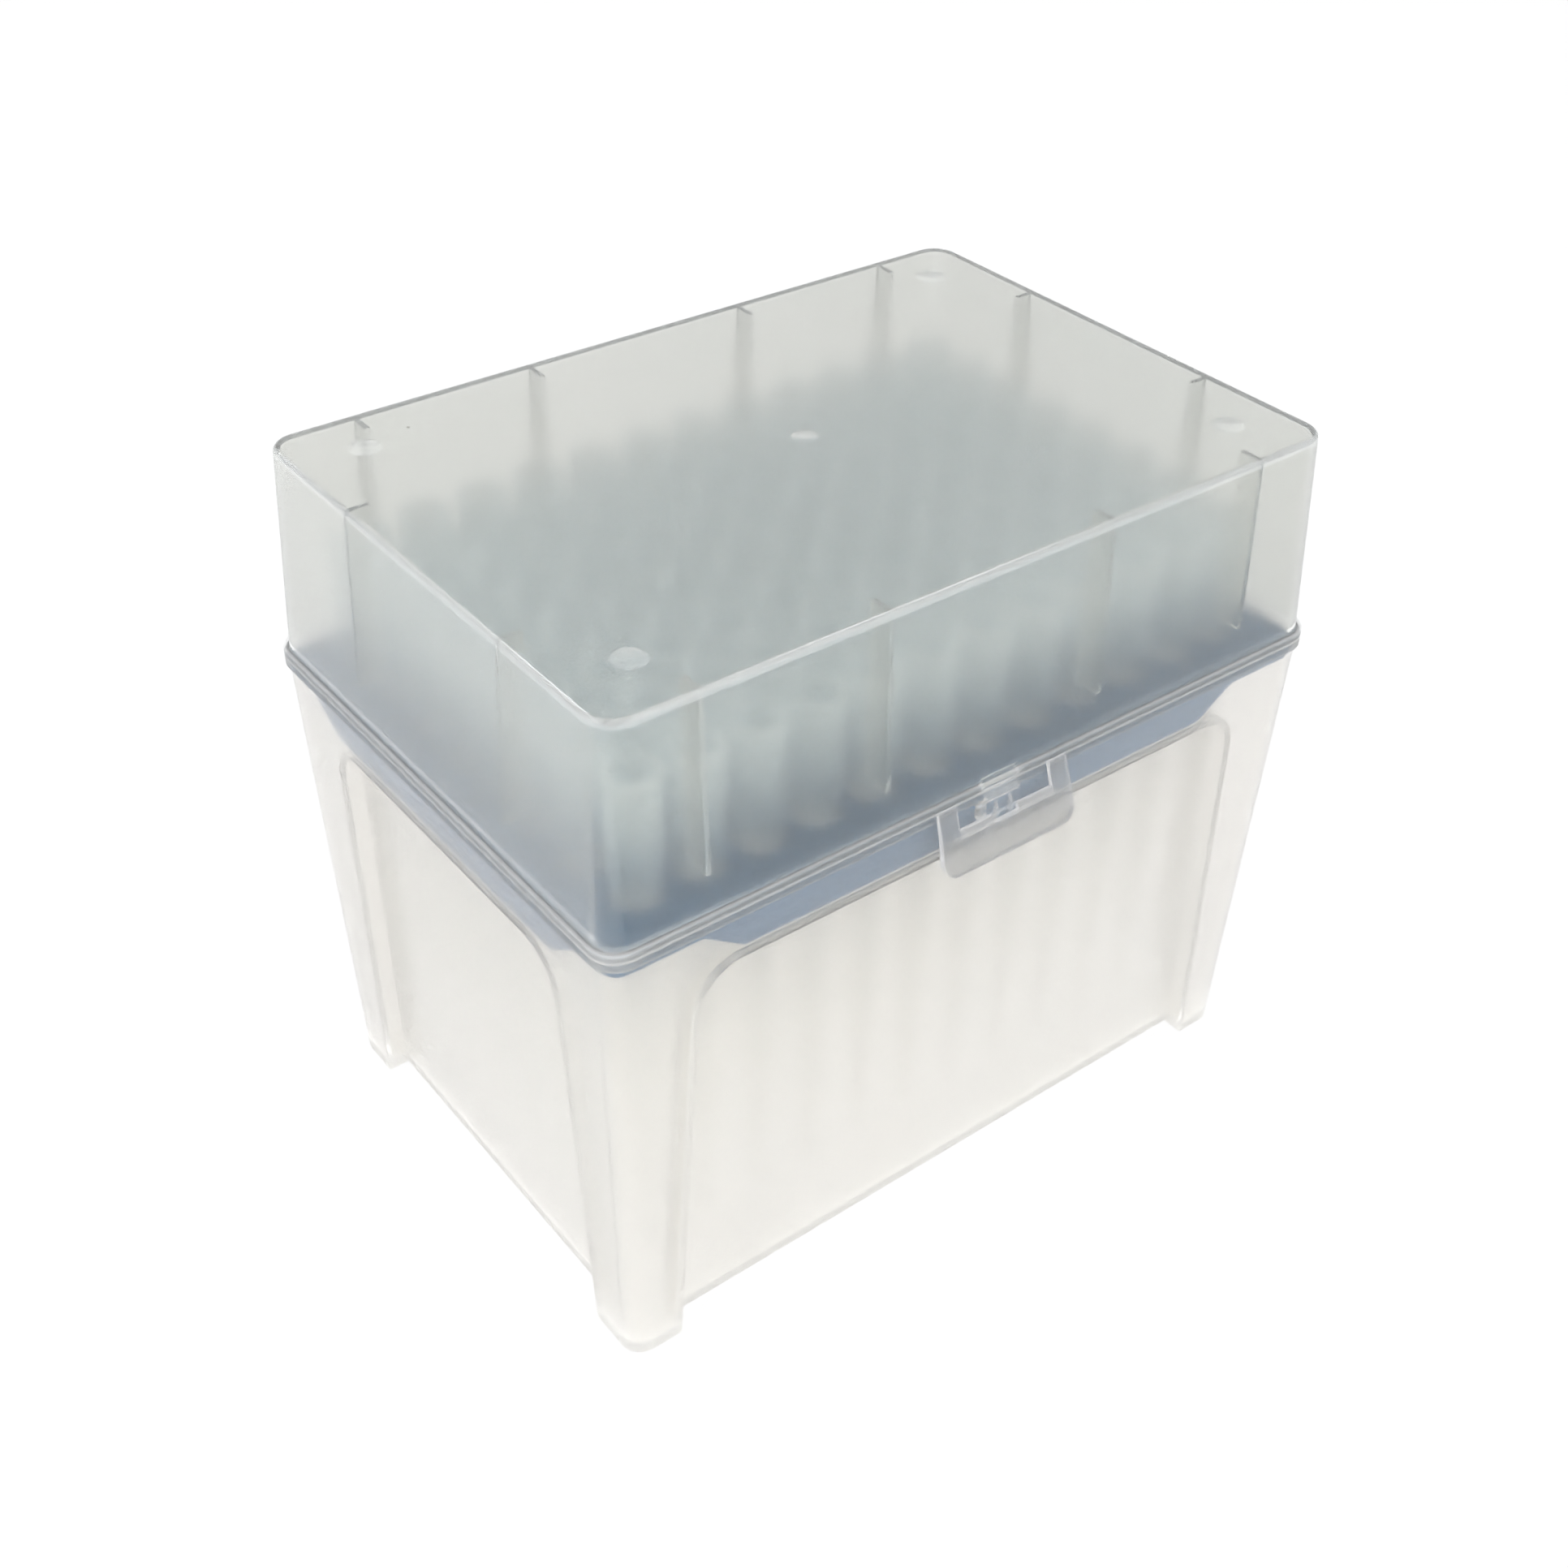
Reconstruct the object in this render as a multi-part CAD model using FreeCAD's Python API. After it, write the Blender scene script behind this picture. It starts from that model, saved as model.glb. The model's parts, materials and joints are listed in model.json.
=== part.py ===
import FreeCAD, Part
import os
from FreeCAD import Vector

# A hinged, latched box of pipette tips. Millimetres, +Z up.
# X runs along the long side, the latch faces -Y and the lid's hinge is at +Y.
# The origin lies under the middle of the box's bounding box, at the feet.

# Tip grid
tip_pitch = 9.0
tip_columns = 12
tip_rows = 8

# Free heights, which with the tip's own size give the heights of the joint and the lid
foot_height = 0.5
tip_floor_gap = 10.35
lid_headroom = 12.15

# Rims of the base and the lid, measured out from the outer tips
rim_end_margin = 10.8
rim_side_margin = 10.45
rim_corner_radius = 3.9
base_rim_height = 1.4
lid_rim_height = 1.2
rim_edge_break = 0.2

# Base tub
wall = 1.0
base_rim_overhang = 0.6
base_end_draft = 2.0
base_side_draft = 1.95
base_corner_radius = 3.2

# Recessed panel on each side of the base
recess_depth = 3.1
recess_top_drop = 8.65
recess_corner_radius = 6.5
front_post_foot_width = 7.8
front_post_head_width = 13.0
end_post_foot_width = 9.2
end_post_head_width = 13.6

# Lid
lid_rim_ledge = 0.6
lid_end_draft = 1.65
lid_side_draft = 1.15
lid_corner_radius = 4.0
lid_roof = 1.2
lid_top_rounding = 0.8
lid_foot_rounding = 0.4
dimple_radius = 2.35
middle_dimple_radius = 1.85
dimple_depth = 0.45
dimple_end_margin = 9.8
dimple_side_margin = 9.55

# Stiffening fins inside the lid, which hang between neighbouring tips
fin_thickness = 0.8
fin_depth = 4.0
fin_foot_rise = 6.0
long_wall_fin_gaps = (2, 5)
end_wall_fin_gap = 2

# Tip rack
rack_drop = 0.2
rack_clearance = 0.3
rack_plate_thickness = 2.0
skirt_thickness = 1.0
skirt_depth = 3.2
long_tab_margin = 20.7
end_tab_margin = 14.85
tab_end_lean = 1.44

# Pipette tip, heights from its seat on the rack
tip_head_height = 18.8
tip_reach = 62.8
tip_collar_radius = 3.7
tip_collar_height = 1.5
tip_head_radius = 3.55
tip_shank_radius = 3.1
tip_knee_radius = 2.65
tip_knee_depth = 25.0
tip_point_radius = 0.6
tip_wall = 0.55
tip_point_wall = 0.25
tip_hole_clearance = 0.2

# Latch, a frame that hangs from the lid's rim; "out" is measured from the rim's face
latch_axis_out = 0.38
latch_axis_drop = 0.05
latch_root_radius = 0.36
latch_root_width = 21.9
latch_foot_width = 22.8
latch_corner_radius = 2.2
latch_shoulder_drop = 0.5
latch_shoulder_out = 0.75
latch_shoulder_thickness = 0.63
latch_bend_drop = 4.05
latch_bend_out = 2.1
latch_bar_thickness = 0.85
latch_foot_drop = 8.85
latch_foot_out = 3.3
latch_foot_thickness = 1.15
window_width = 16.0
window_foot_drop = 3.2
window_bevel_out = 1.5
pocket_side_clearance = 0.5
pocket_floor_drop = 4.4
pocket_out = 1.78

# Catch on the base, which stands through a notch in the lid's rim
catch_width = 5.5
catch_top_rise = 0.75
catch_brow_drop = 1.6
catch_brow_out = 0.5
catch_foot_drop = 4.2
catch_foot_out = 0.65
catch_rib_width = 0.5
catch_rib_proud = 0.6
catch_rib_spacing = 2.4
catch_flare = 0.85
catch_flare_out = 0.55
notch_clearance = 0.25
notch_bite = 0.35

# Hinge: two stations of a moulded pin between ears, held by a clip on the lid
hinge_offset = 2.05
hinge_station_margin = 25.2
hinge_pin_radius = 1.0
hinge_pin_clearance = 0.05
hinge_clip_gap = 0.15
hinge_clip_width = 8.0
hinge_clip_mouth = 1.5
hinge_clip_arm = 0.85
hinge_side_clearance = 0.25
hinge_ear_width = 2.2
hinge_ear_top_gap = 0.45
hinge_ear_back_gap = 0.35
hinge_ear_depth = 3.4
hinge_rim_clearance = 0.3

# Worked out from the sizes above
grid_half_x = (tip_columns - 1) * tip_pitch / 2
grid_half_y = (tip_rows - 1) * tip_pitch / 2
rim_half_x = grid_half_x + rim_end_margin
rim_half_y = grid_half_y + rim_side_margin
floor_top_z = foot_height + wall
rack_top_z = floor_top_z + tip_floor_gap + tip_reach
joint_z = rack_top_z + rack_drop
base_rim_foot_z = joint_z - base_rim_height
recess_top_z = joint_z - recess_top_drop
lid_rim_top_z = joint_z + lid_rim_height
lid_top_z = rack_top_z + tip_head_height + lid_headroom + lid_roof
fin_foot_z = joint_z + fin_foot_rise
tip_hole_radius = tip_shank_radius + tip_hole_clearance
catch_top_inset = lid_rim_ledge + notch_bite - notch_clearance
hinge_y = rim_half_y + hinge_offset
hinge_clip_radius = hinge_offset - hinge_clip_gap
hinge_ear_top = hinge_offset - hinge_ear_top_gap
hinge_ear_back = hinge_offset - hinge_ear_back_gap
front_reach = rim_half_y + latch_foot_out
back_reach = hinge_y + max(hinge_clip_radius, hinge_ear_back)
origin_shift = Vector(0, (front_reach - back_reach) / 2, 0)
beyond = 2 * rim_half_x

# How far cutting shapes run past the faces that they cut
cut_margin = 1.0


def rounded_rectangle(half_x, half_y, radius, z):
    """Closed wire of a round-cornered rectangle, centred on the Z axis."""
    arcs = []
    for side_x, side_y, start in ((1, 1, 0), (-1, 1, 90), (-1, -1, 180), (1, -1, 270)):
        centre = Vector(side_x * (half_x - radius), side_y * (half_y - radius), z)
        arcs.append(Part.makeCircle(radius, centre, Vector(0, 0, 1), start, start + 90))
    edges = []
    for arc, following in zip(arcs, arcs[1:] + arcs[:1]):
        edges.append(arc)
        edges.append(Part.makeLine(arc.Vertexes[-1].Point, following.Vertexes[0].Point))
    return Part.Wire(edges)


def flat_slab(half_x, half_y, radius, z_low, z_high):
    """Round-cornered block with upright sides."""
    face = Part.Face(rounded_rectangle(half_x, half_y, radius, z_low))
    return face.extrude(Vector(0, 0, z_high - z_low))


class Taper:
    """Round-cornered hollow or block whose sides draw in evenly with height."""

    def __init__(self, half_x, half_y, z, slope_x, slope_y, radius):
        self.half_x = half_x
        self.half_y = half_y
        self.z = z
        self.slope_x = slope_x
        self.slope_y = slope_y
        self.radius = radius

    def half_x_at(self, z):
        return self.half_x - (z - self.z) * self.slope_x

    def half_y_at(self, z):
        return self.half_y - (z - self.z) * self.slope_y

    def outline(self, z, inset):
        radius = max(self.radius - inset, wall)
        return rounded_rectangle(self.half_x_at(z) - inset, self.half_y_at(z) - inset, radius, z)

    def block(self, z_low, z_high, inset=0):
        outlines = [self.outline(z_low, inset), self.outline(z_high, inset)]
        return Part.makeLoft(outlines, True, True)


tub_taper = Taper(
    rim_half_x - base_rim_overhang,
    rim_half_y - base_rim_overhang,
    base_rim_foot_z,
    -base_end_draft / base_rim_foot_z,
    -base_side_draft / base_rim_foot_z,
    base_corner_radius,
)
lid_taper = Taper(
    rim_half_x - lid_rim_ledge,
    rim_half_y - lid_rim_ledge,
    lid_rim_top_z,
    lid_end_draft / (lid_top_z - lid_rim_top_z),
    lid_side_draft / (lid_top_z - lid_rim_top_z),
    lid_corner_radius,
)


def prism_along_y(points, y_low, y_high):
    """Prism along Y from (x, z) points."""
    corners = [Vector(x, y_low, z) for x, z in points]
    face = Part.Face(Part.makePolygon(corners + corners[:1]))
    return face.extrude(Vector(0, y_high - y_low, 0))


def prism_along_x(points, x_low, x_high):
    """Prism along X from (y, z) points."""
    corners = [Vector(x_low, y, z) for y, z in points]
    face = Part.Face(Part.makePolygon(corners + corners[:1]))
    return face.extrude(Vector(x_high - x_low, 0, 0))


def front_prism(points, half_width):
    """Prism along X from (distance out of the front rim face, height) points."""
    turned = [(-rim_half_y - out, z) for out, z in points]
    return prism_along_x(turned, -half_width, half_width)


def round_edges(shape, radius, chosen):
    """Fillet the edges that the test picks by their bounding box."""
    return shape.makeFillet(radius, [edge for edge in shape.Edges if chosen(edge.BoundBox)])


def recess_prism(half_foot, half_head, grow, extrude):
    """Upright panel shape with round top corners, run right through the tub."""
    top_z = recess_top_z + grow
    foot_z = -cut_margin
    points = [
        (-half_foot - grow, foot_z),
        (-half_head - grow, top_z),
        (half_head + grow, top_z),
        (half_foot + grow, foot_z),
    ]
    prism = extrude(points, -beyond, beyond)

    def is_top_corner(box):
        return box.ZMin > top_z - 0.01 and max(box.XLength, box.YLength) > beyond

    def away_from_middle(box):
        return min(abs(box.XMin + box.XMax), abs(box.YMin + box.YMax)) < 0.01

    return round_edges(
        prism,
        recess_corner_radius + grow,
        lambda box: is_top_corner(box) and away_from_middle(box),
    )


def recesses(grow):
    """The four panel recesses; grown by the wall, they shape the tub's inside."""
    core = tub_taper.block(-cut_margin, joint_z, recess_depth + grow)
    half_x_foot = tub_taper.half_x_at(0) - front_post_foot_width
    half_x_head = tub_taper.half_x_at(recess_top_z) - front_post_head_width
    half_y_foot = tub_taper.half_y_at(0) - end_post_foot_width
    half_y_head = tub_taper.half_y_at(recess_top_z) - end_post_head_width
    long_sides = recess_prism(half_x_foot, half_x_head, grow, prism_along_y)
    short_sides = recess_prism(half_y_foot, half_y_head, grow, prism_along_x)
    return long_sides.fuse(short_sides).cut(core)


def catch():
    """Sloping nose on the front of the base that the latch's bar snaps under."""
    inside = -base_rim_overhang - wall / 2
    brow_z = joint_z - catch_brow_drop
    foot_z = joint_z - catch_foot_drop
    nose = front_prism(
        [
            (-catch_top_inset, joint_z + catch_top_rise),
            (catch_brow_out, brow_z),
            (catch_foot_out, foot_z),
            (inside, foot_z),
            (inside, joint_z - rim_edge_break * 2),
            (-catch_top_inset, joint_z - rim_edge_break * 2),
        ],
        catch_width / 2,
    )
    rib = front_prism(
        [
            (0, brow_z),
            (catch_brow_out, brow_z),
            (catch_brow_out + catch_rib_proud, brow_z - 2 * catch_rib_proud),
            (catch_foot_out + catch_rib_proud, foot_z),
            (0, foot_z),
        ],
        catch_rib_width / 2,
    )
    for side in (-1, 1):
        nose = nose.fuse(rib.translated(Vector(side * catch_rib_spacing / 2, 0, 0)))
        flare = [
            Vector(side * catch_width / 2, -rim_half_y - catch_flare_out, foot_z),
            Vector(side * (catch_width / 2 + catch_flare), -rim_half_y, foot_z),
            Vector(side * (catch_width / 2 + catch_flare), -rim_half_y - inside, foot_z),
            Vector(0, -rim_half_y - inside, foot_z),
            Vector(0, -rim_half_y - catch_flare_out, foot_z),
        ]
        flare_face = Part.Face(Part.makePolygon(flare + flare[:1]))
        flare_top_z = joint_z - catch_brow_drop
        nose = nose.fuse(flare_face.extrude(Vector(0, 0, flare_top_z - foot_z)))
    return nose


def hinge_stations():
    """X of the middle of each hinge station."""
    station_x = rim_half_x - hinge_station_margin
    return (-station_x, station_x)


def hinge_ear(x_low):
    """Ear on the base; its square back corner stops the opened lid."""
    root_y = rim_half_y - base_rim_overhang - wall / 2
    low_z = joint_z - hinge_ear_depth
    gap_y = rim_half_y + hinge_rim_clearance
    block = prism_along_x(
        [
            (root_y, joint_z - base_rim_height),
            (root_y, low_z - hinge_offset),
            (hinge_y + hinge_ear_back, joint_z - hinge_pin_radius),
            (hinge_y + hinge_ear_back, joint_z + hinge_ear_top),
            (hinge_y, joint_z + hinge_ear_top),
            (hinge_y, joint_z - rim_edge_break * 2),
            (root_y, joint_z - rim_edge_break * 2),
        ],
        x_low,
        x_low + hinge_ear_width,
    )
    disc_radius = hinge_y - gap_y
    disc = Part.makeCylinder(
        disc_radius, hinge_ear_width, Vector(x_low, hinge_y, joint_z), Vector(1, 0, 0)
    )
    return block.fuse(disc)


def hinge_lugs():
    """Both stations' ears with the pin moulded between them."""
    lugs = []
    span = hinge_clip_width + 2 * hinge_side_clearance
    for middle in hinge_stations():
        pin = Part.makeCylinder(
            hinge_pin_radius,
            span + hinge_ear_width,
            Vector(middle - (span + hinge_ear_width) / 2, hinge_y, joint_z),
            Vector(1, 0, 0),
        )
        lugs.append(pin)
        lugs.append(hinge_ear(middle - span / 2 - hinge_ear_width))
        lugs.append(hinge_ear(middle + span / 2))
    return lugs


def hinge_clips():
    """The lid's clips: an open ring round each pin, on an arm from the rim."""
    clips = []
    for middle in hinge_stations():
        x_low = middle - hinge_clip_width / 2
        centre = Vector(x_low, hinge_y, joint_z)
        ring = Part.makeCylinder(hinge_clip_radius, hinge_clip_width, centre, Vector(1, 0, 0))
        arm = Part.makeBox(
            hinge_clip_width,
            hinge_offset + rim_edge_break + lid_rim_ledge,
            hinge_clip_arm,
            Vector(x_low, rim_half_y - rim_edge_break - lid_rim_ledge, joint_z + rim_edge_break / 4),
        )
        bore_radius = hinge_pin_radius + hinge_pin_clearance
        bore = Part.makeCylinder(bore_radius, hinge_clip_width, centre, Vector(1, 0, 0))
        mouth = Part.makeBox(
            hinge_clip_width,
            hinge_clip_mouth,
            2 * hinge_clip_radius,
            Vector(x_low, hinge_y - hinge_clip_mouth / 2, joint_z - 2 * hinge_clip_radius),
        )
        mouth.rotate(centre, Vector(1, 0, 0), 45)
        clips.append(ring.fuse(arm).cut(bore).cut(mouth))
    return clips


def broken_rim(z_low, z_high, broken_z):
    """Rim slab with its outer edge broken where the two rims meet."""
    slab = flat_slab(rim_half_x, rim_half_y, rim_corner_radius, z_low, z_high)
    edges = [
        edge
        for edge in slab.Edges
        if abs(edge.BoundBox.ZMin - broken_z) < 0.01 and edge.BoundBox.ZLength < 0.01
    ]
    return slab.makeChamfer(rim_edge_break, edges)


def base_tub():
    """Thin-walled tub with recessed panels, corner feet, catch and hinge lugs."""
    outside = tub_taper.block(0, joint_z - base_rim_height / 2)
    outside = outside.cut(recesses(0))
    outside = outside.cut(tub_taper.block(-cut_margin, foot_height, recess_depth))
    outside = outside.fuse(broken_rim(base_rim_foot_z, joint_z, joint_z))
    extras = [catch()] + hinge_lugs()
    outside = outside.fuse(extras)
    inside = tub_taper.block(floor_top_z, joint_z + cut_margin, wall)
    inside = inside.cut(recesses(wall))
    return outside.cut(inside).removeSplitter()


def lid_fins():
    """Fins on the lid's walls, set between the rows and columns of tips."""
    inner_half_x = lid_taper.half_x_at(fin_foot_z) - wall
    inner_half_y = lid_taper.half_y_at(fin_foot_z) - wall
    height = lid_top_z - lid_roof / 2 - fin_foot_z
    fins = []
    for side in (-1, 1):
        for gaps in long_wall_fin_gaps:
            for end in (-1, 1):
                middle_x = end * gaps * tip_pitch
                low_y = min(side * (inner_half_y - fin_depth), side * rim_half_y)
                length = rim_half_y - inner_half_y + fin_depth
                corner = Vector(middle_x - fin_thickness / 2, low_y, fin_foot_z)
                fins.append(Part.makeBox(fin_thickness, length, height, corner))
        for end in (-1, 1):
            middle_y = side * end_wall_fin_gap * tip_pitch
            low_x = min(end * (inner_half_x - fin_depth), end * rim_half_x)
            length = rim_half_x - inner_half_x + fin_depth
            corner = Vector(low_x, middle_y - fin_thickness / 2, fin_foot_z)
            fins.append(Part.makeBox(length, fin_thickness, height, corner))
    trim = lid_taper.block(joint_z, lid_top_z - lid_roof / 2, wall / 2)
    return [fin.common(trim) for fin in fins]


def dimple(x, y, radius):
    """Ball whose cap cuts a shallow dimple into the lid's top."""
    ball_radius = (radius ** 2 + dimple_depth ** 2) / (2 * dimple_depth)
    return Part.makeSphere(ball_radius, Vector(x, y, lid_top_z + ball_radius - dimple_depth))


def lid():
    """Hood with a rim, dimples, inner fins, a notch for the catch and hinge clips."""
    hood = lid_taper.block(lid_rim_top_z - lid_rim_height / 2, lid_top_z)
    hood = round_edges(hood, lid_top_rounding, lambda box: box.ZMin > lid_top_z - 0.01)
    hood = hood.fuse(broken_rim(joint_z, lid_rim_top_z, joint_z)).removeSplitter()

    def is_wall_foot(box):
        level = abs(box.ZMin - lid_rim_top_z) < 0.01 and box.ZLength < 0.01
        far_x = max(box.XMax, -box.XMin)
        far_y = max(box.YMax, -box.YMin)
        return level and far_x < rim_half_x - 0.1 and far_y < rim_half_y - 0.1

    hood = round_edges(hood, lid_foot_rounding, is_wall_foot)
    hood = hood.cut(lid_taper.block(joint_z - cut_margin, lid_top_z - lid_roof, wall))
    notch_half = catch_width / 2 + notch_clearance
    notch = front_prism(
        [
            (-lid_rim_ledge - notch_bite, joint_z - cut_margin),
            (lid_rim_ledge, joint_z - cut_margin),
            (lid_rim_ledge, lid_rim_top_z + lid_foot_rounding),
            (-lid_rim_ledge - notch_bite, lid_rim_top_z + lid_foot_rounding),
        ],
        notch_half,
    )
    hood = hood.cut(notch)
    dimple_x = lid_taper.half_x_at(lid_top_z) - dimple_end_margin
    dimple_y = lid_taper.half_y_at(lid_top_z) - dimple_side_margin
    cuts = [dimple(0, 0, middle_dimple_radius)]
    for x in (-dimple_x, dimple_x):
        for y in (-dimple_y, dimple_y):
            cuts.append(dimple(x, y, dimple_radius))
    hood = hood.cut(cuts)
    return hood.fuse(lid_fins() + hinge_clips()).removeSplitter()


def latch():
    """U-shaped frame: two arms from the hinge line and a bar below the window."""
    shoulder_z = joint_z - latch_shoulder_drop
    bend_z = joint_z - latch_bend_drop
    foot_z = joint_z - latch_foot_drop
    axis_z = joint_z - latch_axis_drop
    plate = front_prism(
        [
            (latch_axis_out, axis_z),
            (latch_axis_out + latch_root_radius, axis_z),
            (latch_shoulder_out, shoulder_z),
            (latch_bend_out, bend_z),
            (latch_foot_out, foot_z),
            (latch_foot_out - latch_foot_thickness, foot_z),
            (latch_bend_out - latch_bar_thickness, bend_z),
            (latch_shoulder_out - latch_shoulder_thickness, shoulder_z),
        ],
        latch_foot_width / 2,
    )
    root = Part.makeCylinder(
        latch_root_radius,
        latch_foot_width,
        Vector(-latch_foot_width / 2, -rim_half_y - latch_axis_out, axis_z),
        Vector(1, 0, 0),
    )
    head_z = axis_z + latch_root_radius
    outline = prism_along_y(
        [
            (-latch_foot_width / 2, foot_z),
            (-latch_root_width / 2, head_z),
            (latch_root_width / 2, head_z),
            (latch_foot_width / 2, foot_z),
        ],
        -rim_half_y - 2 * latch_foot_out,
        -rim_half_y,
    )
    outline = round_edges(
        outline,
        latch_corner_radius,
        lambda box: box.ZMax < foot_z + 0.01 and box.YLength > latch_foot_out and box.XLength < 0.1,
    )
    sill_z = joint_z - window_foot_drop
    bevel_slope = (sill_z - bend_z) / (latch_bend_out - window_bevel_out)
    bevel_end_out = latch_bend_out + latch_bend_out - window_bevel_out
    bevel_end_z = bend_z - bevel_slope * (bevel_end_out - latch_bend_out)
    window = front_prism(
        [
            (-latch_foot_out, sill_z),
            (window_bevel_out, sill_z),
            (bevel_end_out, bevel_end_z),
            (2 * latch_foot_out, bevel_end_z),
            (2 * latch_foot_out, head_z + cut_margin),
            (-latch_foot_out, head_z + cut_margin),
        ],
        window_width / 2,
    )
    pocket = front_prism(
        [
            (0, joint_z - pocket_floor_drop),
            (pocket_out, joint_z - pocket_floor_drop),
            (pocket_out, sill_z + cut_margin),
            (0, sill_z + cut_margin),
        ],
        (catch_rib_spacing + catch_rib_width) / 2 + pocket_side_clearance,
    )
    return plate.fuse(root).common(outline).cut(window).cut(pocket).removeSplitter()


def tip():
    """Hollow stepped cone whose head's shoulder sits on the rack."""
    outer = [
        (tip_point_radius, -tip_reach),
        (tip_knee_radius, -tip_knee_depth),
        (tip_shank_radius, 0),
        (tip_head_radius, 0),
        (tip_head_radius, tip_head_height - tip_collar_height),
        (tip_collar_radius, tip_head_height - tip_collar_height),
        (tip_collar_radius, tip_head_height),
    ]
    bore = [
        (tip_head_radius - tip_wall / 2, tip_head_height),
        (tip_head_radius - tip_wall, tip_head_height - tip_collar_height),
        (tip_shank_radius - tip_wall, 0),
        (tip_knee_radius - tip_wall, -tip_knee_depth),
        (tip_point_radius - tip_point_wall, -tip_reach),
    ]
    corners = [Vector(radius, 0, z) for radius, z in outer + bore]
    face = Part.Face(Part.makePolygon(corners + corners[:1]))
    return face.revolve(Vector(0, 0, 0), Vector(0, 0, 1), 360)


def column_x(column):
    return column * tip_pitch - grid_half_x


def row_y(row):
    return row * tip_pitch - grid_half_y


def tip_column(column):
    """The tips of one column, from the front row to the back."""
    one = tip()
    seats = [Vector(column_x(column), row_y(row), rack_top_z) for row in range(tip_rows)]
    return Part.makeCompound([one.translated(seat) for seat in seats])


def tab_profile(half_length, run):
    """Skirt outline of one pair of sides, deeper between its sloping ends."""
    low_z = recess_top_z + wall
    step_z = rack_top_z - skirt_depth
    shoulder = half_length + (step_z - low_z) * tab_end_lean
    half = [(half_length, low_z), (shoulder, step_z), (run, step_z), (run, rack_top_z)]
    return [(-across, z) for across, z in reversed(half)] + half


def tip_rack():
    """Plate with a hole for each tip, and a skirt whose tabs stand on the tub's shelf."""
    low_z = recess_top_z + wall
    gap = wall + rack_clearance
    plate_foot_z = rack_top_z - rack_plate_thickness
    shell = tub_taper.block(low_z, rack_top_z, gap)
    shell = shell.cut(tub_taper.block(low_z - cut_margin, plate_foot_z, gap + skirt_thickness))
    long_tab = tab_profile(rim_half_x - long_tab_margin, rim_half_x)
    end_tab = tab_profile(rim_half_y - end_tab_margin, rim_half_y)
    long_sides = prism_along_y(long_tab, -rim_half_y, rim_half_y)
    end_sides = prism_along_x(end_tab, -rim_half_x, rim_half_x)
    shell = shell.common(long_sides.fuse(end_sides))
    holes = []
    for column in range(tip_columns):
        for row in range(tip_rows):
            foot = Vector(column_x(column), row_y(row), plate_foot_z - cut_margin)
            holes.append(Part.makeCylinder(tip_hole_radius, 2 * rack_plate_thickness, foot))
    return shell.cut(Part.makeCompound(holes)).removeSplitter()


def main():
    os.makedirs("parts", exist_ok=True)
    nodes = {
        "base_tub": base_tub(),
        "tip_rack": tip_rack(),
        "lid": lid(),
        "latch": latch(),
    }
    for column in range(tip_columns):
        nodes["tips_column_%02d" % (column + 1)] = tip_column(column)
    for name, shape in nodes.items():
        shape.translate(origin_shift)
        shape.exportStep("parts/%s.step" % name)
        box = shape.optimalBoundingBox()
        print("%s: %d solids, volume %.1f, valid %s, x %.2f..%.2f, y %.2f..%.2f, z %.2f..%.2f" % (
            name, len(shape.Solids), shape.Volume, shape.isValid(),
            box.XMin, box.XMax, box.YMin, box.YMax, box.ZMin, box.ZMax))


main()
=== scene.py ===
"""Finishes for a hinged box of pipette tips: frosted box and latch, blue rack, cloudy tips."""

import json
import math

import bpy
from mathutils import Matrix, Vector

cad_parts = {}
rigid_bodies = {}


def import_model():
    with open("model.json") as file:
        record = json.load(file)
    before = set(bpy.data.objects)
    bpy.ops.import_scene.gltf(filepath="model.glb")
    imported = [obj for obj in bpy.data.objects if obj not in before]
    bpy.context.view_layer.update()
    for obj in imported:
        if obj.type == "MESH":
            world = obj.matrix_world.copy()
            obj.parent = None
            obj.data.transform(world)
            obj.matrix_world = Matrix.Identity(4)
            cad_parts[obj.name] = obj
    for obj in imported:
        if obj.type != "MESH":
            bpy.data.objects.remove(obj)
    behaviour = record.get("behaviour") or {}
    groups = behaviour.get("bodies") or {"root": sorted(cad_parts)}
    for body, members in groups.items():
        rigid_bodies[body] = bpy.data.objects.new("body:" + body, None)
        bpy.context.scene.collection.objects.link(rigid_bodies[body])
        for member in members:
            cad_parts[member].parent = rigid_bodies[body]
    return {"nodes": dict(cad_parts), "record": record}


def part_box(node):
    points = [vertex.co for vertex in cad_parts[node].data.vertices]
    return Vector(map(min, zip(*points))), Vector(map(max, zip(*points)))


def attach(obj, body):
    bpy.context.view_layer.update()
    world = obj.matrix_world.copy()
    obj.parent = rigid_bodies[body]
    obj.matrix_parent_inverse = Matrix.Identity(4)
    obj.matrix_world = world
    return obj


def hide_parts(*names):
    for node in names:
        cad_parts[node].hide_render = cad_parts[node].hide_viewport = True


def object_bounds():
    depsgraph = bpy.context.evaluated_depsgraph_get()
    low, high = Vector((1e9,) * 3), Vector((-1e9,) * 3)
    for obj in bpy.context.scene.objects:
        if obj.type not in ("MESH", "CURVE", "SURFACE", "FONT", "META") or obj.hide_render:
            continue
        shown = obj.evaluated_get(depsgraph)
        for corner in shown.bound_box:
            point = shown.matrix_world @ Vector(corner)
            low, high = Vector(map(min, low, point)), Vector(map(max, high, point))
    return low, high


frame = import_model()
packed_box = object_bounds()

MM = 0.001
TIP_NODES = sorted(name for name in frame["nodes"] if name.startswith("tips_column"))
TIP_ROWS = 8
TIP_SIDES = 40
# The ring that carries a tip's outline round, and the angle from which its folds stay sharp.
TIP_RING_RADIUS = 2.0 * MM
TIP_SHARP_FOLD = math.radians(28.0)
# Room from the outer tips to the lid's walls, and the thickness of the lid's roof.
TIP_TO_LID = 3.9 * MM
LID_ROOF = 1.2 * MM
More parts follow.
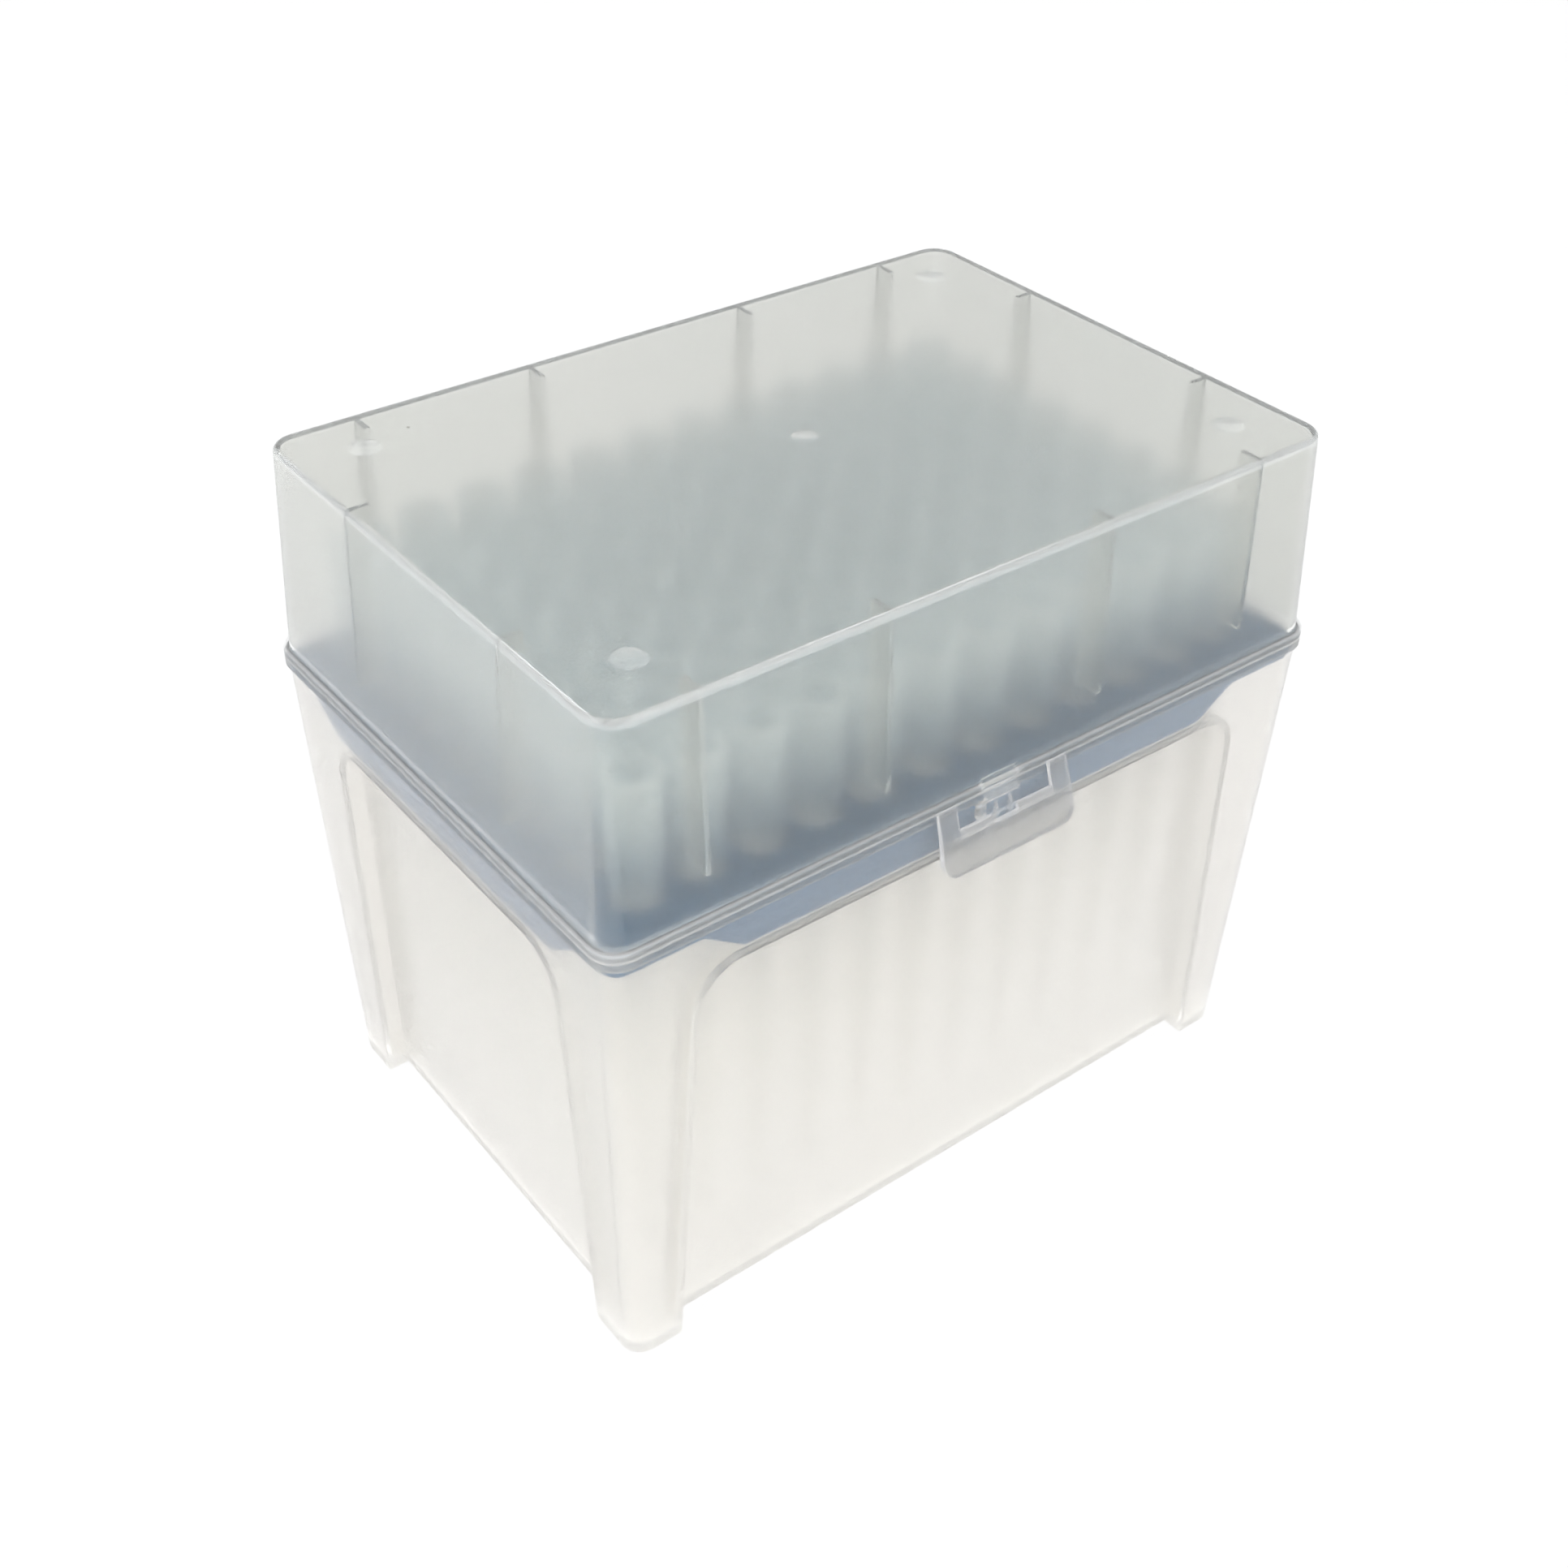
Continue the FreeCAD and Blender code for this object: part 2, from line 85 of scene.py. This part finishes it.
# How far the thick rims reach below and above the joint, and the depth of a soft edge there.
RIM_BELOW = 1.6 * MM
RIM_ABOVE = 1.5 * MM
RIM_FADE = 0.4 * MM
# Share of full white that the floor shows, and the light of the surroundings.
FLOOR_WHITE = 0.95
SKY_LIGHT = 0.9
# Half the floor's length, and the distance of the lamps, in metres.
FLOOR_REACH = 40.0
LAMP_DISTANCE = 0.8
# Bends that the light may take on its way through the walls.
LIGHT_BENDS = 24
LIGHT_GLANCES = 12
CLEAR_LAYERS = 64
# Closed outline of one tip's wall: radius and height above the rack, in millimetres.
TIP_OUTLINE = (
    (0.60, -62.80),
    (0.95, -56.00),
    (2.65, -25.00),
    (3.10, -0.20),
    (3.12, 0.00),
    (3.45, 0.00),
    (3.55, 0.12),
    (3.55, 17.10),
    (3.60, 17.26),
    (3.70, 17.34),
    (3.70, 18.50),
    (3.66, 18.66),
    (3.58, 18.76),
    (3.46, 18.80),
    (3.32, 18.74),
    (3.22, 18.60),
    (3.00, 17.30),
    (2.55, 0.00),
    (2.10, -25.00),
    (0.70, -56.00),
    (0.35, -62.80),
)


# --- Node building -------------------------------------------------------------------------


class Signal:
    """A socket whose arithmetic adds nodes to the tree it belongs to."""

    def __init__(self, plan, socket):
        self.plan = plan
        self.socket = socket

    def _math(self, operation, first, second):
        return self.plan.node("ShaderNodeMath", {"operation": operation}, {0: first, 1: second})

    def __add__(self, other):
        return self._math("ADD", self, other)

    __radd__ = __add__

    def __sub__(self, other):
        return self._math("SUBTRACT", self, other)

    def __rsub__(self, other):
        return self._math("SUBTRACT", other, self)

    def __mul__(self, other):
        return self._math("MULTIPLY", self, other)

    __rmul__ = __mul__

    def size(self):
        return self._math("ABSOLUTE", self, 0.0)

    def greater(self, other):
        return self._math("MAXIMUM", self, other)

    def band(self, low, high):
        """0 below low, 1 above high, smooth between."""
        return self.plan.node(
            "ShaderNodeMapRange",
            {"interpolation_type": "SMOOTHSTEP"},
            {"Value": self, "From Min": low, "From Max": high, "To Min": 0.0, "To Max": 1.0},
        )


class Plan:
    """A node tree under construction."""

    def __init__(self, tree):
        self.tree = tree
        self.tree.nodes.clear()

    def set(self, socket, value):
        if isinstance(value, Signal):
            self.tree.links.new(value.socket, socket)
        elif socket.type == "RGBA" and len(value) == 3:
            socket.default_value = (*value, 1.0)
        else:
            socket.default_value = value

    def place(self, kind, settings, values):
        """Adds any node: its settings first, then the values or links of its sockets."""
        made = self.tree.nodes.new(kind)
        for key, value in settings.items():
            setattr(made, key, value)
        for key, value in values.items():
            self.set(made.inputs[key], value)
        return made

    def node(self, kind, settings, values, output=0):
        return Signal(self, self.place(kind, settings, values).outputs[output])

    def blend(self, share, first, second):
        return self.node("ShaderNodeMixShader", {}, {0: share, 1: first, 2: second})

    def seen_directly(self):
        """1 for the rays that show a background to the eye, in a mirror or through plastic."""
        camera, mirror, through = (
            self.node("ShaderNodeLightPath", {}, {}, kind)
            for kind in ("Is Camera Ray", "Is Glossy Ray", "Is Transmission Ray")
        )
        return camera.greater(mirror).greater(through)


class Finish(Plan):
    """A material under construction, with its Principled shader."""

    def __init__(self, name, **constants):
        self.material = bpy.data.materials.new(name)
        self.material.use_nodes = True
        super().__init__(self.material.node_tree)
        self.output = self.place("ShaderNodeOutputMaterial", {}, {})
        self.shader = self.place("ShaderNodeBsdfPrincipled", {}, {})
        self.feed(**constants)
        self.show(Signal(self, self.shader.outputs[0]))

    def show(self, surface):
        self.surface = surface
        self.set(self.output.inputs["Surface"], surface)

    def feed(self, **sockets):
        for socket, value in sockets.items():
            self.set(self.shader.inputs[socket.replace("_", " ")], value)

    def position(self):
        return self.node("ShaderNodeTexCoord", {}, {}, "Object")

    def along(self, axis):
        return self.node("ShaderNodeSeparateXYZ", {}, {0: self.position()}, axis)

    def noise(self, scale, detail=2.0, roughness=0.5, stretch=None):
        place = self.position()
        if stretch:
            place = self.node("ShaderNodeMapping", {}, {"Vector": place, "Scale": stretch})
        return self.node(
            "ShaderNodeTexNoise",
            {},
            {"Vector": place, "Scale": scale, "Detail": detail, "Roughness": roughness},
        )

    def tint(self, share, low, high):
        return self.node("ShaderNodeMix", {"data_type": "RGBA"}, {0: share, 6: low, 7: high}, 2)

    def bump(self, height, strength, distance):
        self.feed(Normal=self.node(
            "ShaderNodeBump", {}, {"Height": height, "Strength": strength, "Distance": distance}
        ))

    def soft_light(self, colour):
        """Soft light of one colour that comes through a thin wall."""
        return self.node("ShaderNodeBsdfTranslucent", {}, {"Color": colour})

    def let_light_through(self, soft, share):
        """Mixes in a share of soft light from behind the wall."""
        self.show(self.blend(share, self.surface, soft))

    def cloud_over(self, colour, share):
        """Mixes in a share of matt haze that catches the light in front of the wall."""
        haze = self.node("ShaderNodeBsdfDiffuse", {}, {"Color": colour})
        self.show(self.blend(share, self.surface, haze))


# --- Finishes ------------------------------------------------------------------------------


def specks(finish, scale, share):
    """Few small dark grains of dust or burnt plastic, as a 0 to 1 mask."""
    placed = {"Vector": finish.position(), "Scale": scale}
    grain = finish.node("ShaderNodeTexVoronoi", {}, placed, "Distance")
    pick = finish.node("ShaderNodeTexVoronoi", {}, placed, "Color")
    chance = finish.node("ShaderNodeSeparateColor", {}, {0: pick})
    chosen = chance.band(1.0 - share, 1.0 - 0.9 * share)
    return (1.0 - grain.band(0.04, 0.08)) * chosen


def rim_mask(finish):
    """1 in the thick rims on both sides of the joint, 0 in the thin walls: there the finishes add
    the thick plastic's real scatter and painted highlight lines.
    """
    joint = frame["record"]["behaviour"]["joints"][0]["pos_m"][2]
    foot, top = joint - RIM_BELOW, joint + RIM_ABOVE
    height = finish.along("Z")
    return height.band(foot, foot + RIM_FADE) * (1.0 - height.band(top - RIM_FADE, top))


def lid_walls(finish):
    """Two masks: 1 in the lid's end walls, and 1 in its front and back walls."""
    lowest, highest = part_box(TIP_NODES[0])
    middle_y = (lowest.y + highest.y) / 2
    reach_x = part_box(TIP_NODES[-1])[1].x + TIP_TO_LID
    reach_y = highest.y - middle_y + TIP_TO_LID
    fade = 0.3 * MM
    ends = finish.along("X").size().band(reach_x - fade, reach_x)
    sides = (finish.along("Y") - middle_y).size().band(reach_y - fade, reach_y)
    return ends, sides


def frosted_lid():
    """Thin cloudy polypropylene: see-through close up, blurred further away."""
    finish = Finish("frosted_lid_plastic", Transmission_Weight=0.988, IOR=1.42)
    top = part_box("lid")[1].z
    height = finish.along("Z")
    cloud = finish.noise(scale=32.0, detail=3.0, roughness=0.55).band(0.3, 0.7)
    grain = finish.noise(scale=900.0)
    # The rims' milky, translucent share is partly the thick plastic's real scatter and partly
    # painted highlight for their bright edge lines.
    rim_scatter_and_highlight = rim_mask(finish)
    ends, sides = lid_walls(finish)
    inside = 1.0 - ends.greater(sides)
    roof = height.band(top - LID_ROOF - 0.1 * MM, top - LID_ROOF + 0.1 * MM)
    fins = inside * (1.0 - roof)
    # The roof's outer rounding is made milkier, hazier and more translucent below: a painted
    # highlight along the roof's edges.
    brow_highlight = roof * (1.0 - inside) * (1.0 - height.band(top - 0.12 * MM, top - 0.05 * MM))
    # The gate dimples get a lighter haze below: a painted highlight on their rings.
    dimple_highlight = inside * height.band(top - 0.6 * MM, top - 0.5 * MM) * (
        1.0 - height.band(top - 0.06 * MM, top - 0.02 * MM)
    )
    cloudy, clear, milky_and_highlight_white = (0.82, 0.83, 0.80), (0.86, 0.865, 0.835), (0.98, 0.985, 0.98)
    burnt = (0.25, 0.24, 0.22)
    # The milky white on the rims, the fins and the roof's rounding is partly the thicker
    # plastic's own milkiness and partly painted highlight on the rims and the roof's edges.
    thick = rim_scatter_and_highlight.greater(0.7 * brow_highlight).greater(0.4 * fins)
    wall = finish.tint(thick, finish.tint(cloud, cloudy, clear), milky_and_highlight_white)
    finish.feed(
        Base_Color=finish.tint(specks(finish, scale=220.0, share=0.012), wall, burnt),
        Roughness=0.23 - 0.12 * roof + 0.04 * cloud + 0.02 * grain,
    )
    finish.bump(grain, strength=0.04, distance=0.02 * MM)
    light = finish.soft_light((0.99, 0.99, 0.99))
    finish.let_light_through(light, 0.7 * rim_scatter_and_highlight + 0.25 * brow_highlight + 0.1 * fins)
    walls = (0.045 * ends).greater(0.022 * sides) * (1.0 - roof)
    # On the walls the haze catches the lamps; on the rims, the roof's rounding and the dimples it
    # adds painted highlight.
    haze = walls + 0.03 * rim_scatter_and_highlight + 0.1 * brow_highlight + 0.08 * dimple_highlight
    finish.cloud_over((0.93, 0.96, 0.96), haze)
    return finish.material


def frosted_base():
    """Milkier polypropylene of the tub, with faint flow marks down its walls."""
    finish = Finish("frosted_base_plastic", Transmission_Weight=0.95, IOR=1.42)
    cloud = finish.noise(scale=24.0, detail=3.0, roughness=0.55).band(0.3, 0.7)
    flow = finish.noise(scale=60.0, stretch=(1.0, 1.0, 0.12)).band(0.35, 0.65)
    grain = finish.noise(scale=900.0)
    # The rims' translucent and hazy share is partly the thick plastic's real scatter and partly
    # painted highlight for their bright edge lines.
    rim_scatter_and_highlight = rim_mask(finish)
    foot = 1.0 - finish.along("Z").band(0.8 * MM, 2.2 * MM)
    ivory, pale = (0.99, 0.979, 0.953), (0.998, 0.989, 0.967)
    finish.feed(
        Base_Color=finish.tint(0.6 * cloud + 0.4 * flow, ivory, pale),
        Roughness=0.24 + 0.05 * cloud + 0.03 * grain,
    )
    finish.bump(grain, strength=0.06, distance=0.02 * MM)
    light = finish.soft_light((0.99, 0.985, 0.96))
    finish.let_light_through(light, 0.05 + 0.65 * rim_scatter_and_highlight + 0.5 * foot)
    finish.cloud_over((0.95, 0.96, 0.95), 0.04 * rim_scatter_and_highlight)
    return finish.material


def clear_latch():
    """The latch's thin web of the lid's plastic, a little milkier for its bends."""
    finish = Finish("frosted_latch_plastic", Transmission_Weight=1.0, IOR=1.42)
    cloud = finish.noise(scale=140.0).band(0.3, 0.7)
    grain = finish.noise(scale=1200.0)
    finish.feed(
        Base_Color=finish.tint(cloud, (0.92, 0.92, 0.91), (0.95, 0.95, 0.94)),
        Roughness=0.22 + 0.08 * cloud,
    )
    finish.bump(grain, strength=0.03, distance=0.01 * MM)
    finish.let_light_through(finish.soft_light((0.95, 0.95, 0.96)), 0.3)
    return finish.material


def blue_rack():
    """Satin blue polypropylene of the rack's plate."""
    finish = Finish("blue_rack_plastic", IOR=1.49)
    cloud = finish.noise(scale=45.0, detail=3.0, roughness=0.6).band(0.25, 0.75)
    grain = finish.noise(scale=1400.0)
    finish.feed(
        Base_Color=finish.tint(cloud, (0.02, 0.092, 0.195), (0.03, 0.112, 0.23)),
        Roughness=0.42 + 0.08 * grain,
    )
    finish.bump(grain, strength=0.25, distance=0.05 * MM)
    return finish.material


def cloudy_tip():
    """Natural polypropylene of the tips: thin clear shafts, milkier heads and collars, with the
    blue rack's reflection and shade painted low on the heads.
    """
    finish = Finish("cloudy_tip_plastic", Transmission_Weight=0.6, IOR=1.4)
    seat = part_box("tip_rack")[1].z
    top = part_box(TIP_NODES[0])[1].z
    height = finish.along("Z")
    cloud = finish.noise(scale=70.0, stretch=(1.0, 1.0, 0.3)).band(0.3, 0.7)
    grain = finish.noise(scale=1800.0)
    head_share = height.band(seat - 2 * MM, seat + 1 * MM)
    climb = height.band(seat - 3 * MM, top - 1 * MM)
    collar = height.band(top - 1.7 * MM, top - 1.5 * MM)
    # Low on the heads, next to the rack, the rack's blue is painted on as reflected and shaded
    # colour; it fades out towards the crowns.
    rack_blue_fade = height.band(seat - 5 * MM, top - 5 * MM)
    painted_rack_blue = (0.5, 0.6, 0.69)
    shaft = finish.tint(cloud, (0.996, 0.993, 0.982), (0.999, 0.997, 0.99))
    crown = finish.tint(cloud, (0.89, 0.925, 0.94), (0.93, 0.955, 0.965))
    head_with_rack_blue = finish.tint(rack_blue_fade, painted_rack_blue, crown)
    finish.feed(
        Base_Color=finish.tint(head_share, shaft, head_with_rack_blue),
        Roughness=0.3 + 0.08 * grain,
        Alpha=0.07 + 0.02 * cloud - 0.02 * head_share + 0.26 * climb * climb + 0.2 * collar,
    )
    finish.bump(grain, strength=0.05, distance=0.02 * MM)
    shaft_light = finish.soft_light((0.998, 0.995, 0.986))
    crown_light = finish.soft_light((0.91, 0.94, 0.952))
    # The soft light through the heads carries the same painted rack blue.
    head_light_with_rack_blue = finish.blend(rack_blue_fade, finish.soft_light(painted_rack_blue), crown_light)
    light = finish.blend(head_share, shaft_light, head_light_with_rack_blue)
    finish.let_light_through(light, 0.3 + 0.05 * head_share + 0.15 * climb)
    return finish.material


def pale_floor(white_share):
    """Matt white floor that takes the shadow but looks near white itself."""
    finish = Finish("pale_floor_paint", Roughness=0.9)
    shade, white = (0.89, 0.89, 0.89), (0.91, 0.91, 0.91)
    finish.feed(Base_Color=finish.tint(finish.noise(scale=6.0), shade, white))
    glow = finish.node("ShaderNodeEmission", {}, {"Color": (1.0, 1.0, 1.0), "Strength": 1.0})
    finish.show(finish.blend(finish.seen_directly() * white_share, finish.surface, glow))
    return finish.material


# --- Tips ----------------------------------------------------------------------------------


def outline_mesh():
    """Closed loop of the tip's wall, measured from the ring that carries it round."""
    points = [
        (radius * MM - TIP_RING_RADIUS, -height * MM, 0.0)
        for radius, height in reversed(TIP_OUTLINE)
    ]
    edges = [(here, (here + 1) % len(points)) for here in range(len(points))]
    mesh = bpy.data.meshes.new("tip_outline")
    mesh.from_pydata(points, edges, [])
    return mesh


def tip_grid_tree():
    """Node tree that turns an outline into a tip and sets a grid of them in a rack."""
    tree = bpy.data.node_groups.new("tip_grid", "GeometryNodeTree")
    face = tree.interface
    face.new_socket("Geometry", in_out="OUTPUT", socket_type="NodeSocketGeometry")
    kinds = (
        ("Outline", "NodeSocketObject"),
        ("Ring Radius", "NodeSocketFloat"),
        ("Sides", "NodeSocketInt"),
        ("Columns", "NodeSocketInt"),
        ("Rows", "NodeSocketInt"),
        ("Grid Length", "NodeSocketFloat"),
        ("Grid Width", "NodeSocketFloat"),
        ("Grid Middle", "NodeSocketVector"),
        ("Sharp Angle", "NodeSocketFloat"),
        ("Plastic", "NodeSocketMaterial"),
    )
    for name, kind in kinds:
        face.new_socket(name, in_out="INPUT", socket_type=kind)
    plan = Plan(tree)
    given = plan.place("NodeGroupInput", {}, {}).outputs
    asked = {name: Signal(plan, given[name]) for name, _ in kinds}
    outline = plan.node("GeometryNodeObjectInfo", {}, {"Object": asked["Outline"]}, "Geometry")
    section = plan.node("GeometryNodeMeshToCurve", {}, {"Mesh": outline})
    ring = plan.node(
        "GeometryNodeCurvePrimitiveCircle",
        {"mode": "RADIUS"},
        {"Resolution": asked["Sides"], "Radius": asked["Ring Radius"]},
    )
    tip = plan.node("GeometryNodeCurveToMesh", {}, {"Curve": ring, "Profile Curve": section})
    fold = plan.node("GeometryNodeInputMeshEdgeAngle", {}, {}, "Unsigned Angle")
    sharp = plan.node(
        "FunctionNodeCompare",
        {"data_type": "FLOAT", "operation": "GREATER_THAN"},
        {"A": fold, "B": asked["Sharp Angle"]},
    )
    shaded = plan.node(
        "GeometryNodeSetShadeSmooth",
        {"domain": "EDGE"},
        {0: tip, "Selection": sharp, "Shade Smooth": False},
    )
    seats = plan.node(
        "GeometryNodeMeshGrid",
        {},
        {
            "Size X": asked["Grid Length"],
            "Size Y": asked["Grid Width"],
            "Vertices X": asked["Columns"],
            "Vertices Y": asked["Rows"],
        },
    )
    placed = plan.node(
        "GeometryNodeTransform", {}, {"Geometry": seats, "Translation": asked["Grid Middle"]}
    )
    tips = plan.node("GeometryNodeInstanceOnPoints", {}, {"Points": placed, "Instance": shaded})
    solid = plan.node("GeometryNodeRealizeInstances", {}, {"Geometry": tips})
    dressed = plan.node(
        "GeometryNodeSetMaterial", {}, {"Geometry": solid, "Material": asked["Plastic"]}
    )
    plan.place("NodeGroupOutput", {}, {"Geometry": dressed})
    return tree


def pipette_tips(plastic):
    """All the tips as one mesh that stands in the rack in place of the plain columns."""
    lowest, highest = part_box(TIP_NODES[0])
    far_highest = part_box(TIP_NODES[-1])[1]
    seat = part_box("tip_rack")[1].z
    collar = max(radius for radius, _ in TIP_OUTLINE) * MM
    outline = bpy.data.objects.new("tip_outline", outline_mesh())
    holder = bpy.data.objects.new("tip_holder", bpy.data.meshes.new("tip_holder"))
    bpy.context.scene.collection.objects.link(holder)
    tree = tip_grid_tree()
    maker = holder.modifiers.new("tip_grid", "NODES")
    maker.node_group = tree
    middle_x = (lowest.x + far_highest.x) / 2
    middle_y = (lowest.y + far_highest.y) / 2
    sizes = {
        "Outline": outline,
        "Ring Radius": TIP_RING_RADIUS,
        "Sides": TIP_SIDES,
        "Columns": len(TIP_NODES),
        "Rows": TIP_ROWS,
        "Grid Length": far_highest.x - lowest.x - 2 * collar,
        "Grid Width": highest.y - lowest.y - 2 * collar,
        "Grid Middle": (middle_x, middle_y, seat),
        "Sharp Angle": TIP_SHARP_FOLD,
        "Plastic": plastic,
    }
    for socket in tree.interface.items_tree:
        if socket.in_out == "INPUT":
            maker[socket.identifier] = sizes[socket.name]
    holder.update_tag()
    graph = bpy.context.evaluated_depsgraph_get()
    mesh = bpy.data.meshes.new_from_object(holder.evaluated_get(graph))
    mesh.name = "pipette_tips"
    mesh.materials.clear()
    mesh.materials.append(plastic)
    tips = bpy.data.objects.new("pipette_tips", mesh)
    bpy.context.scene.collection.objects.link(tips)
    bpy.data.objects.remove(holder)
    bpy.data.objects.remove(outline)
    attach(tips, "base")
    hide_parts(*TIP_NODES)


# --- Studio --------------------------------------------------------------------------------


def dress(node, material):
    """Gives a CAD node's every slot one material."""
    mesh = frame["nodes"][node].data
    mesh.materials.clear()
    mesh.materials.append(material)


def floor():
    """Wide plate at the height of the box's feet."""
    lowest, highest = packed_box
    middle = (lowest + highest) / 2
    corners = [
        (middle.x + side_x * FLOOR_REACH, middle.y + side_y * FLOOR_REACH, lowest.z)
        for side_x, side_y in ((-1, -1), (1, -1), (1, 1), (-1, 1))
    ]
    mesh = bpy.data.meshes.new("floor")
    mesh.from_pydata(corners, [], [(0, 1, 2, 3)])
    mesh.materials.append(pale_floor(FLOOR_WHITE))
    plate = bpy.data.objects.new("floor", mesh)
    bpy.context.scene.collection.objects.link(plate)


def sky(light_strength):
    """White surroundings: plain white to the eye, softer as a lamp."""
    world = bpy.data.worlds.new("surroundings")
    bpy.context.scene.world = world
    world.use_nodes = True
    plan = Plan(world.node_tree)
    white, cool_white = (1.0, 1.0, 1.0), (0.97, 0.985, 1.0)
    seen = plan.node("ShaderNodeBackground", {}, {"Color": white, "Strength": 1.0})
    lit = plan.node("ShaderNodeBackground", {}, {"Color": cool_white, "Strength": light_strength})
    whole = plan.blend(plan.seen_directly(), lit, seen)
    plan.place("ShaderNodeOutputWorld", {}, {"Surface": whole})


def outward(azimuth, elevation):
    """Direction out of the object: azimuth 0 is straight out of its front."""
    return Vector((
        math.sin(azimuth) * math.cos(elevation),
        -math.cos(azimuth) * math.cos(elevation),
        math.sin(elevation),
    ))


def lamp(name, azimuth, elevation, size, power):
    """Square soft box that faces the middle of the object."""
    lowest, highest = packed_box
    middle = (lowest + highest) / 2
    out = outward(math.radians(azimuth), math.radians(elevation))
    data = bpy.data.lights.new(name, "AREA")
    data.size = size
    data.energy = power
    holder = bpy.data.objects.new(name, data)
    holder.location = middle + out * LAMP_DISTANCE
    holder.rotation_euler = out.to_track_quat("Z", "Y").to_euler()
    bpy.context.scene.collection.objects.link(holder)


def camera():
    """Looks down on the near corner from the front left, with a slight roll."""
    azimuth, elevation, roll = (math.radians(angle) for angle in (-38.92, 37.09, 1.51))
    target = Vector((0.75, -3.25, 50.0)) * MM
    distance = 294.05 * MM
    back = outward(azimuth, elevation)
    across = Vector((math.cos(azimuth), math.sin(azimuth), 0.0))
    upward = back.cross(across)
    right = across * math.cos(roll) + upward * math.sin(roll)
    up = upward * math.cos(roll) - across * math.sin(roll)
    data = bpy.data.cameras.new("camera")
    data.sensor_width = 36.0
    data.lens = 45.5
    data.shift_x = -0.0192
    data.shift_y = 0.0028
    data.clip_start = 0.01
    data.clip_end = 100.0
    holder = bpy.data.objects.new("camera", data)
    place = target + back * distance
    holder.matrix_world = Matrix((
        (right.x, up.x, back.x, place.x),
        (right.y, up.y, back.y, place.y),
        (right.z, up.z, back.z, place.z),
        (0.0, 0.0, 0.0, 1.0),
    ))
    bpy.context.scene.collection.objects.link(holder)
    bpy.context.scene.camera = holder


def main():
    """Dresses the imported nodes, adds the tips and sets up the studio."""
    bpy.data.batch_remove([*bpy.data.lights, *bpy.data.cameras])
    dress("base_tub", frosted_base())
    dress("lid", frosted_lid())
    dress("latch", clear_latch())
    dress("tip_rack", blue_rack())
    pipette_tips(cloudy_tip())
    floor()
    sky(SKY_LIGHT)
    lamp("side_lamp", azimuth=-95.0, elevation=25.0, size=0.7, power=6.5)
    lamp("front_lamp", azimuth=10.0, elevation=20.0, size=0.7, power=5.5)
    lamp("edge_lamp_right", azimuth=68.0, elevation=57.0, size=0.18, power=1.2)
    lamp("edge_lamp_back", azimuth=-162.0, elevation=49.0, size=0.18, power=1.2)
    camera()
    scene = bpy.context.scene
    scene.view_settings.view_transform = "Standard"
    scene.cycles.denoising_input_passes = "RGB"
    scene.cycles.max_bounces = LIGHT_BENDS
    scene.cycles.transmission_bounces = LIGHT_BENDS
    scene.cycles.glossy_bounces = LIGHT_GLANCES
    scene.cycles.diffuse_bounces = LIGHT_GLANCES
    scene.cycles.transparent_max_bounces = CLEAR_LAYERS


main()
